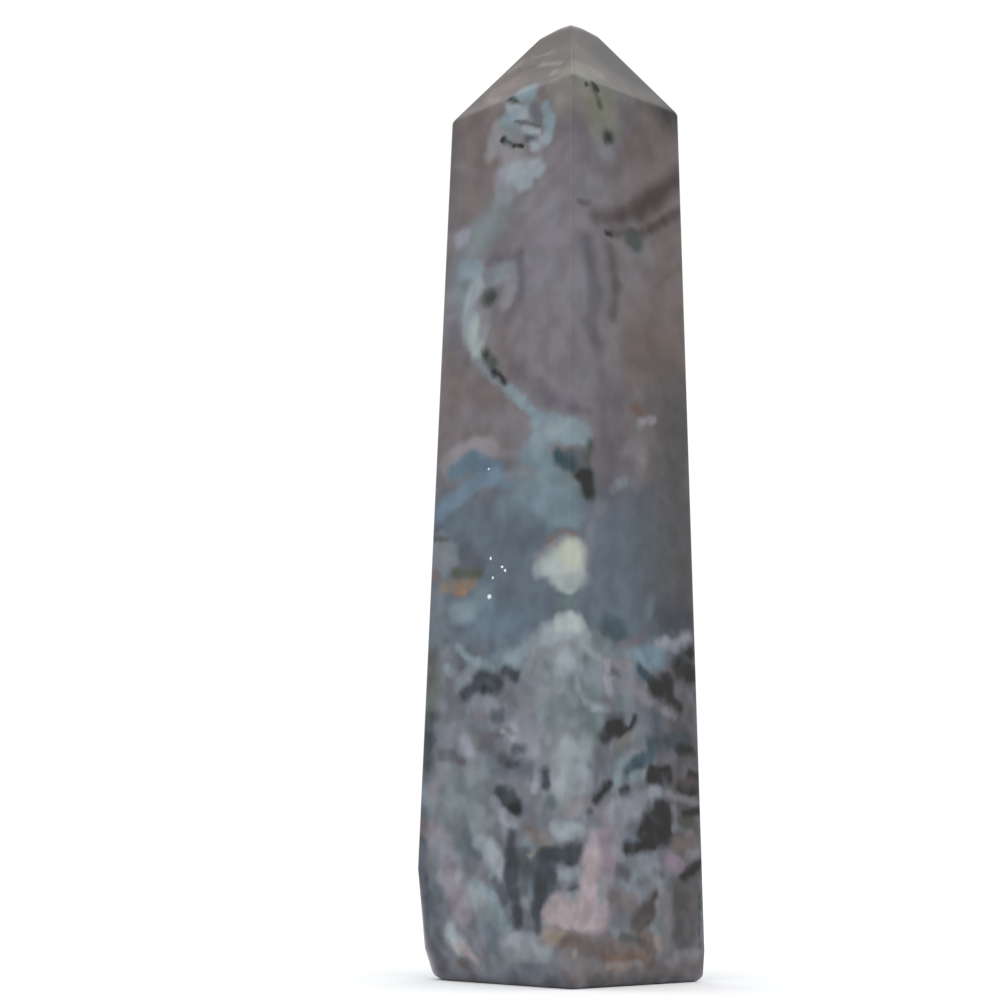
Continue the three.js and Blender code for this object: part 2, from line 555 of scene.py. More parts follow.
class Brush:
    """Gathers the marks, laid one over another on the two faces that the camera sees."""

    def __init__(self):
        self.marks = []

    def lay(self, places, paint, radius, soft, rough, strength):
        """A band along a route of places, or a spot where there is only one place."""
        soft = min(soft or SOFT_LEAST + SOFT_SHARE * radius, SOFT_LIMIT * radius)
        for start, end in list(zip(places, places[1:])) or [(places[0], places[0])]:
            self.marks.append(Mark(paint, radius, start, end, soft, rough, strength))

    def left(self, paint, radius, *route, soft=None, rough=ROUGH, strength=1.0):
        """A mark on the left face, at -Y, its route given as (x, height)."""
        places = [(x, -half_width(z), z) for x, z in route]
        self.lay(places, paint, radius, soft, rough, strength)

    def right(self, paint, radius, *route, soft=None, rough=ROUGH, strength=1.0):
        """A mark on the right face, at +X, its route given as (y, height)."""
        places = [(half_width(z), y, z) for y, z in route]
        self.lay(places, paint, radius, soft, rough, strength)


def paint_host(left, right):
    """Slow changes of tone in the plain stone of the upper half and at the right edge."""
    left(MAUVE, 4.5, (5.5, 78), (6, 58), soft=6.5, strength=0.8)
    left(PALE_MAUVE, 2.6, (5.4, 78), (5, 69), soft=5, strength=0.6)
    left(DARK_TAUPE, 1, (-8.6, 90), (-9, 79), soft=2.6, strength=0.5)
    left(STONE_CREAM, 1.6, (6.8, 90), (7.8, 87.6), soft=2.4, strength=0.9)
    left(TAUPE, 1.8, (7.6, 85), (7.2, 81), soft=3.6, strength=0.8)
    right(MAUVE, 4, (-6, 81), (-6, 60), soft=6.5, strength=0.7)
    right(WARM_TAUPE, 3.5, (4, 87), (8, 70), soft=5.2, strength=0.8)
    right(CAP_BROWN, 2, (2, 90), (2.6, 86), soft=4, strength=0.7)
    right(BROWN, 3.4, (2.5, 63.6), (8, 63), soft=3.6, strength=0.9)
    right(DUSK, 2.6, (-3.6, 58), (-3.2, 50), soft=4.4, strength=0.8)
    right(DIM_SLATE, 2.6, (1, 47), (2.4, 39), soft=5, strength=0.7)
    right(UMBER, 4.2, (7, 58), (7.8, 38), soft=9)
    right(DARK_SLATE, 1.8, (4.4, 36.4), (8, 36.6), soft=3, strength=0.8)


def paint_pyramid(left, right):
    """Cream streaks, pink patches and painted shade on the right side of the pyramid."""
    # Painted shade: the right side of the pyramid darkened almost to black-brown
    right(CAP_PAINTED_SHADE, 3, (1.6, 96), (7, 91.5), soft=4.5)
    left(CAP_CREAM, 0.14, (-0.9, 95.9), (1.5, 95.7), (5.1, 95.6), strength=0.8)
    right(CAP_CREAM, 0.14, (-5.6, 95.9), (-4.7, 95), (-3.9, 93.8), strength=0.6)
    left(CAP_CREAM, 0.35, (1.6, 94.1), (5.2, 93.2))
    left(CAP_CREAM, 0.5, (5, 92), (7.3, 91.6))
    left(CAP_PINK, 1.2, (-4, 91.8), (-0.6, 92.6), soft=2)
    left(CAP_PINK, 0.6, (-4.4, 94.6), (-2.6, 95.6))
    left(CAP_DARK, 0.3, (-1.9, 94.6), (0, 94.4))
    left(CAP_CREAM, 0.45, (-3.6, 91), (-2.3, 90.6))
    right(CAP_CREAM, 1, (-5.8, 92.4), (-3, 92.2), strength=0.8)
    right(CAP_DARK, 0.3, (-4.8, 92.5), (-4, 92))
    right(CAP_CREAM, 0.2, (-1.6, 96.9), (1.4, 95.2), (3, 93.4), strength=0.4)
    right(CAP_PINK, 1, (3.4, 92), (5.6, 91.8), soft=2, strength=0.4)


def paint_arcs(right):
    """The dark curved bands on the right face."""
    right(ARC_BROWN, 0.8, (-5.2, 76.8), (-1.4, 77.6), (1.6, 78.8), soft=1.8, rough=0.1, strength=0.7)
    right(ARC_BROWN, 1.1, (1.6, 78.8), (4.2, 80.6), (8.4, 83.6), soft=2.4, rough=0.1)
    right(ARC_BROWN, 0.5, (-2.9, 75.6), (0.6, 76), (3.4, 77), soft=1.2, rough=0.1, strength=0.7)
    right(ARC_BROWN, 0.5, (3.4, 77.2), (5.8, 78.4), (8.4, 80), soft=1.6, rough=0.1, strength=0.8)
    right(MOSS_GREEN, 0.9, (0.2, 75.4), (1.2, 75), strength=0.95)
    right(INK, 0.3, (-3.8, 75.2), (-3, 75.3))
    right(DARK_TAUPE, 0.25, (-7.8, 77.6), (-6.2, 78), strength=0.7)
    right(DUSK, 0.9, (-6.6, 73.8), (-5.5, 69.5), (-6.2, 65.6), soft=1.8, rough=0.1)
    right(DUSK, 0.9, (-6.2, 65.4), (-5.2, 63), soft=1.8, rough=0.1)
    right(DARK_TAUPE, 0.6, (-3.1, 73.8), (-2.1, 70.2), (-2.6, 66.8), soft=1.4, rough=0.1, strength=0.8)
    right(BROWN, 0.35, (8.3, 73.8), (6.1, 72.6), (4.4, 71), strength=0.7)


def paint_tongue(right):
    """The greenish tongue on the right face, with the black spot in its pale end."""
    right(DUSK, 1.3, (-7.8, 85.6), (-6.4, 83.2), soft=2.8, strength=0.6)
    right(DARK_TAUPE, 1.2, (-0.6, 89), (-0.8, 84.6), soft=2.8, strength=0.6)
    right(DARK_TAUPE, 0.9, (-1.4, 82.8), (-4.6, 82), soft=2, strength=0.4)
    right(GREEN_CREAM, 2, (-6.3, 91.2), (-4.2, 87), soft=1.8)
    right(GREEN_CREAM, 1.4, (-3.2, 90), (-2.8, 87), soft=1.8, strength=0.8)
    right(MIST, 1.8, (-3.4, 85), soft=1.3, strength=0.2)
    right(MIST, 0.9, (-4.3, 84.4), (-3.4, 84), strength=0.5)
    right(OLIVE, 0.4, (-5.2, 90.2), (-4.4, 88.6))
    right(INK, 0.3, (-6.3, 90.4), (-5.4, 90.7), (-4.7, 90.2), soft=0.5)
    right(INK, 0.2, (-4.9, 90.9), (-4, 91.3), soft=0.4)
    right(BLACK_GREEN, 0.75, (-3.1, 85.5), soft=1.1)


def paint_first_plume(left):
    """The pale blue plume that hangs from the shoulder on the left face."""
    left(ICE, 1.1, (1.2, 90.4), (2.6, 90.2))
    left(PALE_SAGE, 1, (2.2, 88.6), (4, 87.6))
    left(CHALK, 0.8, (0.2, 89.2), (2.2, 87.9))
    left(SHELL, 0.7, (-1.7, 87.5))
    left(ICE, 0.8, (-0.6, 87.8), (0.4, 88))
    left(PALE_SAGE, 1, (-0.4, 86.6), (1.5, 86.2))
    left(DUSK, 0.8, (3.5, 88.2), (4.2, 87), strength=0.8)
    left(CHALK, 0.45, (2.3, 86.3), (4, 85.6))
    left(ICE, 0.6, (5.2, 88.2), (5.7, 86.6), (5.3, 85))
    left(CHALK, 0.7, (5, 84.9), (3.6, 84.4))
    left(DEEP_TEAL, 0.3, (2.7, 85.3), (3.9, 85.1), strength=0.7)
    left(SHELL, 1.1, (-2, 86.2), (-2.5, 84.9))
    left(SHELL, 1.5, (0, 84.6), (1.2, 83.5))
    left(LILAC, 1.2, (-0.6, 82), (-0.4, 79.8), soft=1.6)
    left(CHALK, 1.1, (0.6, 82), (3.9, 81.9))
    left(CHALK, 0.8, (1.4, 80.8), (2.6, 80.6))
    left(INK, 0.45, (0, 90.1))
    left(MOSS_GREEN, 0.2, (0.5, 89.8), (1.6, 89.1))
    left(MOSS_GREEN, 0.16, (0.9, 87.5), (2.2, 87), (4.2, 86.3), strength=0.7)
    left(MOSS_GREEN, 0.28, (-0.9, 86.1), (0.9, 84.9))
    left(INK, 0.22, (-0.8, 86))
    left(INK, 0.2, (0.7, 85), (1.9, 84.5))


def paint_second_plume(left):
    """The band of pale lobes that runs down the left face to the middle."""
    left(DUSK, 0.7, (-7.4, 66.6), (-5.4, 62.6), soft=1.8, strength=0.5)
    left(PALE_SAGE, 1.7, (-5.2, 75.2), (-3.2, 76.4), (-0.8, 78.6), soft=2.6, strength=0.85)
    left(LILAC, 1.1, (-6.4, 76.2))
    left(MIST, 2, (-6, 73.2), (-5.8, 70), soft=2.2, rough=0.6)
    left(DUSK, 0.6, (-2, 73.1), (1.8, 72.9), (2.2, 69.2), (0.4, 66.8), soft=1.6, strength=0.8)
    left(ICE, 1.1, (-5.8, 72.7), (-4.2, 72.4))
    left(SAGE, 0.6, (-5.6, 71), (-4.4, 70.9), strength=0.8)
    left(CHALK, 0.9, (-3.9, 71), (-4.8, 69.4))
    left(MIST, 1.1, (-2, 71.6), (0.4, 71.5))
    left(PALE_MAUVE, 1, (0.8, 70.6), (0.2, 68.7))
    left(CHALK, 1.4, (-5, 67.4), (-4.3, 65.8), rough=0.5)
    left(MILK, 0.9, (-4.1, 66.4), (-3.6, 63.8), rough=0.4)
    left(PALE_MAUVE, 0.8, (-2.6, 67.6), (-2.9, 65.8))
    left(MIST, 0.45, (-3.6, 62.7), (-1.1, 60.8), (0.6, 59.4))
    left(ICE, 0.5, (0.6, 59.5), (2.8, 57.8), (4.6, 56.2))
    left(GREY, 0.5, (-0.8, 61.9), strength=0.8)
    left(MOSS_GREEN, 0.9, (-2.2, 69.4))
    left(BLACK_GREEN, 0.5, (-2.1, 69.3), strength=0.35)
    left(MOSS_GREEN, 0.65, (-2.5, 63.4), (-1.5, 62.3))
    left(BLACK_GREEN, 0.35, (-2.5, 63.2), strength=0.7)
    left(INK, 0.33, (-1.2, 61.4), (0.2, 60.1))


def paint_third_plume(left, right):
    """The bright plume that reaches the near edge, its haze and the blue layers beside it."""
    left(DUSK, 0.8, (1.6, 61.4), (6.2, 57.9), (9, 56.6), soft=2.1, strength=0.6)
    left(SHELL, 1, (-7.6, 52.4), (-5.6, 53.4), (-3.6, 53.9), (-1.4, 53.4))
    left(MAUVE, 0.5, (-1.2, 53.2), (1.7, 52.4), (3.6, 51.6), strength=0.7)
    left(DEEP_BLUE, 1, (-6.4, 51.5), (-4, 52.4), (-0.2, 51))
    left(PERIWINKLE, 0.8, (-8.4, 47.2), (-5.8, 48.8), (-3.4, 50.2), (-1, 50.5), (1.4, 49.6))
    left(PALE_BLUE, 2.1, (4.6, 51.6), (5.8, 48.8), (8, 47.2), soft=2.8)
    left(PALE_BLUE, 1.1, (0.4, 47.6), (4, 48.2), soft=2.6, strength=0.6)
    left(PALE_BLUE, 1, (5.6, 46.7), (7.8, 45.9), (9.8, 45.2), soft=1.6)
    right(PALE_BLUE, 0.8, (-9.6, 46.6), (-8.6, 45.4), soft=1.6, strength=0.7)
    left(MIST, 0.6, (1.2, 50.3), (3.2, 50.7), (4.8, 50.2))
    left(ICE, 1.3, (5.2, 55.4), (6.4, 54.6), (9.9, 54))
    left(CHALK, 0.8, (6.6, 54.6), (9.9, 54.2), strength=0.6)
    left(ICE, 0.8, (4.8, 53.8), (5.1, 52.4))
    right(ICE, 1.2, (-9.8, 53.9), (-7.5, 53.9))
    left(DEEP_TEAL, 0.75, (7.8, 51.6), (9.6, 50.6))
    left(SAGE, 0.8, (9.2, 49.2), strength=0.7)
    left(DIM_SLATE, 0.6, (-8.9, 45.6), (-9.2, 44.4))


def paint_dark_blob(left, right):
    """The green-black inclusion beside the near edge, and the small marks to its right."""
    right(DEEP_TEAL, 1, (-9.6, 51.2), (-8, 51.6), strength=0.6)
    right(MOSS_GREEN, 0.5, (-6.4, 53), (-7, 51.4), soft=1.2, strength=0.9)
    right(MOSS_GREEN, 1.2, (-7.2, 50), (-6.8, 48.4), soft=1.2)
    right(BLACK_GREEN, 0.7, (-8.4, 49.8), (-6.8, 49.9), rough=0.2)
    right(BLACK_GREEN, 0.9, (-7.3, 49.4), (-7, 48.4), rough=0.2)
    right(DUSK, 0.35, (-9.5, 56.3), (-6.5, 56.3), strength=0.7)
    right(MAUVE, 0.7, (-0.9, 53.2), (1.4, 53), (1.6, 54.6), soft=1.5, strength=0.7)
    right(MAUVE, 0.6, (1.5, 52.4), (0.4, 49.8), soft=1.5, strength=0.6)
    right(MIST, 0.45, (1, 56), (1.6, 56.5), strength=0.9)
    right(SHELL, 0.3, (1.6, 56.5), (3.6, 57))
    right(RUST, 0.5, (0.4, 57.7), (1.4, 57.5))
    right(MIST, 0.5, (-3.2, 48.9), (-2.2, 49.6), (-1.4, 49.9), strength=0.7)
    right(LILAC_GREY, 1, (-7.4, 45.6), (-4.6, 46.6), soft=2, strength=0.4)


def paint_left_stain(left):
    """The mottle, orange stain, pale spot and tiny painted glints at the left of the blue zone."""
    left(MIST, 1.5, (-8.2, 43.8), (-8, 42))
    left(MIST, 0.7, (-6.4, 43.4), (-6.2, 42), strength=0.7)
    left(MOSS_GREEN, 0.35, (-9.1, 44.7), (-7.2, 44.5), strength=0.8)
    left(DIM_SLATE, 1.2, (-4.4, 42.8), (-3.2, 41.4))
    left(OLIVE, 0.6, (-5.8, 40.7), (-2.6, 40.4), strength=0.9)
    left(TAUPE, 0.6, (-9.2, 41), (-8.6, 40.7))
    left(OCHRE, 0.6, (-7.8, 39.4), (-3.4, 39.6), strength=0.9)
    left(ORANGE, 0.55, (-5.6, 38.9), (-4.8, 38.9))
    left(ICE, 1.1, (-5.6, 36.9), (-3.4, 37), soft=1.6)
    left(PALE_BLUE, 1.2, (-2.2, 38.4), (-1.6, 36.8), soft=2, strength=0.6)
    left(MIST, 1.2, (-8.6, 38.2), (-8.2, 34.6), soft=1.8, strength=0.5)
    left(PERIWINKLE, 1.6, (-2, 35.4), (3, 35.2), soft=2.8, strength=0.5)
    # Tiny painted glints of light on the polish
    for place in [(-1.7, 51.4), (-0.8, 39.9), (0.6, 41), (1, 40.6), (-1.1, 42.1)]:
        left(PAINTED_GLINT, 0.14, place, soft=0.14, rough=0.05)
    left(PAINTED_GLINT, 0.26, (-1.1, 38.1), soft=0.3, rough=0.05)


def paint_cream_blob(left, right):
    """The cream lens on the near edge, its brown cap and the top of the cone below it."""
    left(PALE_MAUVE, 0.7, (5.6, 41.6), (7.2, 42.8), (8.6, 43.4), soft=1.2, strength=0.8)
    left(RUST, 0.25, (6.6, 43.4), (8.2, 43.9), (10, 44.1), strength=0.7)
    right(RUST, 0.22, (-9.8, 43.9), (-8.4, 43.6), strength=0.7)
    right(LILAC_GREY, 0.7, (-7.6, 39.6), (-7, 42), (-6.8, 44.2), soft=1.6, strength=0.7)
    left(CHALK, 0.8, (5.5, 40.4), (7.2, 41), rough=0.1)
    left(MILK, 1.4, (7, 41), (10, 41.4), rough=0.1)
    left(MILK, 1.1, (8.2, 39.5), (10, 39), rough=0.1)
    left(WHITE, 0.7, (8.6, 38.9), (10, 38.8), rough=0.1, strength=0.8)
    right(CHALK, 1.1, (-8.6, 39.8), (-8.2, 42.2), soft=1.5, rough=0.1, strength=0.8)
    right(MILK, 1.1, (-9.8, 39.2), (-8.8, 40.4), rough=0.1)
    left(WHITE, 0.9, (6.8, 40.7), (10, 40.9), rough=0.1)
    left(CREAM, 0.5, (9.8, 42), (10.2, 42.2), soft=1.2, rough=0.1)
    right(CREAM, 1.3, (-9.8, 41.9), (-9, 41.8), soft=1.8, rough=0.1)
    left(SAGE, 0.8, (8.6, 37), (9.9, 36.8), strength=0.8)
    left(FOG, 1.8, (9, 33.2), (6.4, 32.6), soft=1.8)
    left(CHALK, 1, (9.4, 34.2), (6.8, 33.8))
    right(FOG, 1.5, (-9, 33.4), (-6.4, 32.8), soft=1.6)
    right(CHALK, 0.9, (-9.4, 34.2), (-7.8, 34))
    left(WHITE, 0.85, (8.6, 35), (10, 35.2), rough=0.1)
    right(WHITE, 0.85, (-9.8, 35.2), (-8.6, 34.9), rough=0.1)


def paint_right_middle(right):
    """Blue-grey tones and the steel-blue spot on the right face's lower middle."""
    right(DEEP_TEAL, 1, (-4.2, 35.2), (-2, 34.6), soft=1.8, strength=0.8)
    right(SLATE, 0.6, (2.9, 38.4), (1.6, 36), strength=0.9)
    right(GREY, 0.5, (-1.8, 33.3), (1.6, 34.2), strength=0.9)
    right(INK, 1.3, (7.2, 31.5), (9, 31))
    right(INK, 0.8, (6.6, 34.2), (8.8, 33.2))
    right(LILAC, 0.6, (3.6, 33.5), (5.2, 34), (6.4, 33.8), (8.4, 34.8), soft=1.3, strength=0.8)
    right(DIM_SLATE, 0.5, (6, 35))
    right(STEEL_BLUE, 1.15, (1, 32.3), (3.8, 32.3))


def paint_moss_tones(left, right):
    """The broad tones of the mossy zone: pale along the near edge, dark towards the right."""
    left(MIST, 2, (6, 31.6), (5.6, 27), soft=4, strength=0.5)
    left(FOG, 2, (8.2, 33), (8.4, 26.5), (8.9, 18), soft=2.2)
    right(ICE, 1.6, (-9.6, 32.6), (-8.4, 30.5), soft=2.4)
    right(SAGE, 2.2, (-8.2, 27.6), (-7, 25), soft=3, strength=0.85)
    right(FOG, 1.6, (-8.6, 23), (-8.8, 18.6), soft=2.2, strength=0.6)
    left(PALE_SAGE, 3, (-4.4, 18.6), (-2.2, 16.4), soft=3.6, strength=0.9)
    right(UMBER, 3.2, (6.2, 29), (7.8, 14), soft=5)
    right(DIM_SLATE, 1.8, (3, 26.4), (4.4, 22), soft=3.2, strength=0.9)
    right(UMBER, 2.2, (7.6, 10.5), (7.6, 4), soft=3.2)
    right(PINK_GREY, 2.4, (-5.4, 15), (-6.8, 7.4), soft=2.4)
    left(LILAC, 1.7, (4, 25), (4.8, 23), soft=2.6, strength=0.7)


def paint_left_moss(left):
    """The dark inclusions, the lilac clouds and the greenish cloud of the left face."""
    left(DEEP_BLUE, 0.8, (-0.4, 32.4), (1.4, 31.2), strength=0.6)
    left(ICE, 0.8, (1.9, 31.6), (3.8, 32.6), strength=0.8)
    left(SAGE, 0.6, (-7, 33), strength=0.7)
    left(DIM_SLATE, 0.6, (-5, 32.1), (-4.2, 31))
    left(ICE, 0.35, (-5.3, 33.2), (-4, 32.4), (-2.6, 31.7), (-0.4, 30.8))
    left(ICE, 0.5, (-6.6, 31.1), (-6, 30.8))
    left(MIST, 0.8, (-5, 29.6), (-3.2, 30.6))
    left(DARK_SLATE, 0.7, (-4.2, 28.4), (-2.6, 29.4))
    left(DARK_SLATE, 1, (-2.2, 29.8), (0.1, 29.4))
    left(INK, 0.45, (-1.5, 28.8), (-0.6, 28.7), strength=0.8)
    left(LILAC, 0.5, (-2.4, 27.7), (-1.6, 27.6), strength=0.3)
    left(GREY, 0.6, (-2.6, 26.5), (-1.4, 26.2))
    left(DIM_SLATE, 0.7, (0.2, 26.2), (0.9, 26.3))
    left(DARK_SLATE, 0.6, (1.4, 30.7), (2.8, 29.9))
    left(SAGE, 0.8, (6.8, 30.6), (6.9, 29.6), strength=0.6)
    left(CHALK, 0.8, (9.1, 31.4), (8.9, 30), (8.5, 28.8))
    left(PALE_SAGE, 0.9, (7, 26.6), (7.6, 25.4), strength=0.7)
    left(LILAC, 1.2, (3.5, 25.3), (5.2, 24.2))
    left(GREY, 1, (2.6, 28), (4.6, 27.8), strength=0.8)
    left(LILAC, 0.7, (5.3, 23.8), (6.2, 21.8))
    left(LILAC, 0.25, (5.4, 24), (5.9, 21.6), (5.6, 18.6))
    left(LILAC_GREY, 1.2, (-6.4, 26.8), (-5.8, 25.2))
    left(DARK_SLATE, 1, (-9, 26.2), (-9.2, 21.8), soft=1.6, strength=0.9)
    left(OLIVE, 1.2, (-9, 32), (-8.9, 27.6), soft=2, strength=0.7)
    left(ASH, 0.5, (-1.6, 23.6), (1.8, 24.4))
    left(ASH, 0.7, (-7, 22.3), (-4.8, 22.4), strength=0.8)
    left(DUSK, 0.45, (-4.6, 22), (-4, 21.8))
    left(MAUVE, 1, (-7.2, 20.4), (-8, 19), strength=0.8)
    left(SAGE, 0.8, (-3.4, 18.6), strength=0.7)
    left(MIST, 0.9, (-1.8, 16.6), (-0.4, 16))
    left(LILAC, 0.9, (-4.2, 23.2), (-3.2, 22.8))
    left(GREY, 0.8, (-2.2, 23.8), (-0.4, 23.2))
    left(LILAC_GREY, 0.6, (0.8, 23.2), (2.6, 23.9))
    left(LILAC, 0.25, (1.2, 24.6), (2.6, 23.8), (3.6, 24.2))
    left(DARK_SLATE, 0.5, (3, 22.8), (3.9, 22.8), strength=0.9)
    left(DUSK, 0.6, (1.2, 21.9), (2, 21.6))
    left(DIM_SLATE, 1, (2.6, 21.4), (4.6, 20.8), soft=1.4, strength=0.9)
    left(DARK_SLATE, 0.4, (2.2, 21.2), (3.2, 21.2))
    left(DARK_SLATE, 0.6, (7.1, 20.5), (7.2, 19.2))
    left(CHALK, 0.8, (8.9, 22.8), (9, 18.6))
    left(SAGE, 0.6, (7.4, 17.5), (7.9, 17.5))
    left(DARK_SLATE, 0.65, (0.8, 18.7), (2.6, 18.3))
    left(DARK_SLATE, 0.85, (1.8, 17.9), (3.6, 17.2))
    left(INK, 0.4, (2.7, 17.1), (3.9, 17))
    left(LILAC, 0.6, (0.2, 17.8), (1.6, 16.4), (2.8, 15.5))
    left(LILAC_GREY, 0.9, (5, 17.2), (6, 16.4), strength=0.8)
    left(TAUPE, 0.8, (5.4, 14.9), (6.6, 14.2))
    left(MAUVE, 0.7, (7.4, 14.6), (8.2, 14.9))
    left(CHALK, 0.9, (8.8, 15.2), (10.3, 14.8))


def paint_left_foot(left):
    """The dark teardrops, the lilac bands and the pale patches near the foot of the left face."""
    left(DIM_SLATE, 0.8, (-9.6, 13.6), (-9.3, 10), (-8.7, 5))
    left(ASH, 0.9, (-8.2, 3.6), (-6.6, 1.4))
    left(TAUPE, 0.6, (-9.8, 15.8), (-9, 15))
    left(LILAC_PINK, 1.2, (-7.8, 14.6), (-6.2, 12.6))
    left(LILAC, 1.6, (-6.8, 12.8), (-5.2, 10.4), strength=0.7)
    left(LILAC_PINK, 1.4, (-5.6, 10.6), (-3.6, 6.8))
    left(DIM_SLATE, 1.2, (-7.6, 8.6), (-6.4, 5), strength=0.7)
    left(LILAC, 0.6, (-4.3, 10.3))
    left(SLATE, 0.6, (-3.4, 14.6), (-2.4, 13), (-1.5, 12.3))
    left(CHALK, 0.65, (-1.9, 13.8), (-0.5, 13.5))
    left(CHALK, 1, (0, 13.1), (0.8, 11))
    left(LILAC, 0.6, (1.2, 11.9), (1.6, 10.8), strength=0.8)
    left(FOG, 1.4, (-1.8, 8.8), (-0.4, 6.6))
    left(ICE, 0.5, (-2, 9.6), (0.2, 8.6), (1.3, 6.8), (2.4, 5.4))
    left(SLATE, 0.8, (-0.2, 5.2), (1.4, 3.8), strength=0.8)
    left(LILAC_GREY, 0.7, (-1.6, 4.6), (-0.6, 3))
    left(CHALK, 0.9, (-5.4, 4.9), (-4, 3.5))
    left(WHITE, 0.5, (-4.8, 4), (-3.8, 3.2), strength=0.7)
    left(PINK_CREAM, 0.5, (-4, 3.6), (-1.7, 2))
    left(BROWN, 0.4, (-4, 1.7), (-3, 1.5))
    left(LILAC, 1.3, (2.9, 3.8), (5.4, 3.6))
    left(FOG, 0.8, (2.8, 3), (7.8, 3.2), strength=0.8)
    left(CHALK, 0.5, (3, 4.5), (5.6, 4.6), strength=0.9)
    left(DUSK, 2.5, (-6, -1.8), (10.3, -1.8), soft=1.6, strength=0.9)
    left(DARK_SLATE, 0.6, (2.7, 14.4), (2.6, 12.8))
    left(DARK_SLATE, 1, (3.1, 12.6), (3, 10.9), (3, 9))
    left(DARK_SLATE, 0.65, (3.4, 8.8), (3.8, 7.2), (3.9, 6.1))
    left(DIM_SLATE, 0.55, (0.8, 9.9), (1.8, 9.1), (2.2, 7.9))
    left(MOSS_GREEN, 0.6, (4.6, 12.8), (4.6, 9.2), strength=0.8)
    left(STONE_CREAM, 0.3, (5.3, 12.4), (6.6, 12.9), (8.2, 13.9))
    left(LILAC_GREY, 0.4, (4.7, 8), (5, 6))
    left(DARK_SLATE, 0.9, (7, 12.4), (10.4, 12.9))
    left(DARK_SLATE, 1.5, (6.9, 11.4), (7.5, 9.9))
    left(DARK_SLATE, 0.9, (6.8, 9.2), (6.4, 7))
    left(DARK_SLATE, 0.5, (6.4, 6.8), (6.5, 5.5))
    left(CHALK, 0.5, (9.2, 10.9), (10.3, 10.8))
    left(PINK_CREAM, 0.9, (9, 8.2), (10.4, 8))
    left(BLUSH, 0.9, (8, 6.9), (10.4, 6.7))
    left(TAN, 1, (8.2, 4.9), (10.4, 4.7))
    left(OCHRE, 0.4, (8.8, 4.8), (9.6, 4.5))
    left(BROWN, 0.5, (10, 4.4), (10.4, 4.3), strength=0.6)


